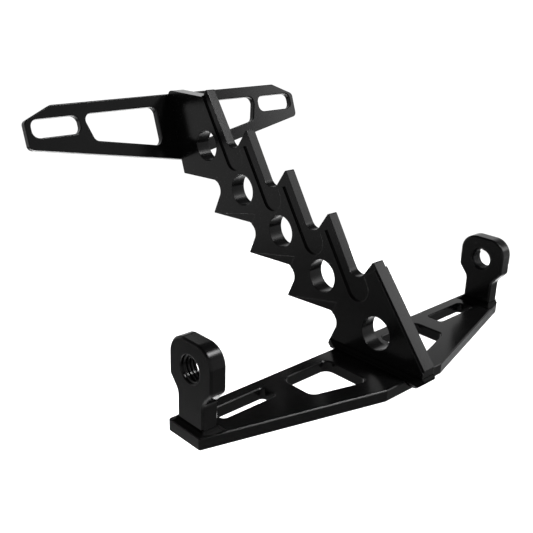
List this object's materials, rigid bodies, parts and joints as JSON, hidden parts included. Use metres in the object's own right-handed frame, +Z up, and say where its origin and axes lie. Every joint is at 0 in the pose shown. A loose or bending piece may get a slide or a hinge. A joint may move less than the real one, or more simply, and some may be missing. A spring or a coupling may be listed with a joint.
{
  "type": "license plate bracket",
  "caption": "Black anodised metal bracket for a motorcycle's plate: slotted base with upright stem lugs, a toothed rising arm and a slotted cross plate.",
  "frame": {"origin": "underside of the base plate, midway between its two mounting slots", "axes": "+X along the base towards the right lug, +Y towards the cross plate, +Z up from the base"},
  "size_m": [0.1626, 0.1472, 0.0893],
  "materials": {
    "base_black": "satin black anodised, fine milled",
    "lug_black": "satin black anodised, fine milled",
    "arm_black": "satin black anodised, fine milled",
    "cross_black": "satin black anodised, fine milled",
    "bead_black": "smoothed weld bead, satin black anodised",
    "screw_black": "black oxide steel"
  },
  "bodies": {
    "root": {"base_plate": "base_black", "lug_left": "lug_black", "lug_right": "lug_black", "arm_plate": "arm_black", "cross_plate": "cross_black", "arm_bead": "bead_black", "lug_bead_left": "bead_black", "lug_bead_right": "bead_black", "screw_upper": "screw_black", "screw_lower": "screw_black"}
  },
  "joints": []
}
